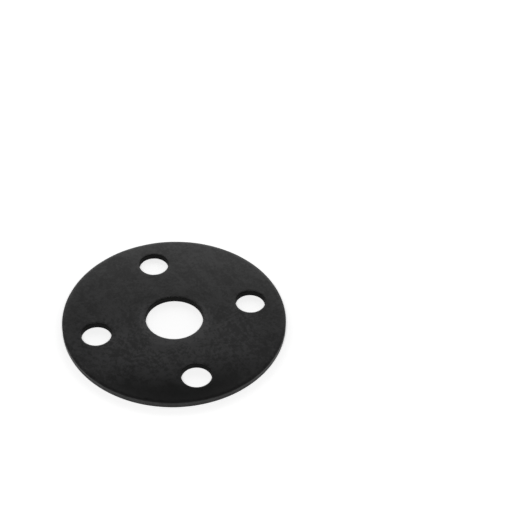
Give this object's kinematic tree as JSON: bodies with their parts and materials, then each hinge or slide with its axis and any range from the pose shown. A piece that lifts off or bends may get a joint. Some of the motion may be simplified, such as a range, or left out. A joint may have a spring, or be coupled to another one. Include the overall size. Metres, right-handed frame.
{
  "type": "flange gasket",
  "caption": "Flat full-face pipe flange gasket cut from black rubber sheet, with a central port and a circle of bolt holes.",
  "frame": {"origin": "centre of the port, on the lower sealing face", "axes": "+Z along the pipe, up through the gasket; +X and +Y run midway between bolt holes"},
  "size_m": [0.105, 0.105, 0.003],
  "materials": {
    "rubber": "matt black rubber sheet"
  },
  "bodies": {
    "root": {"flange_gasket": "rubber"}
  },
  "joints": []
}
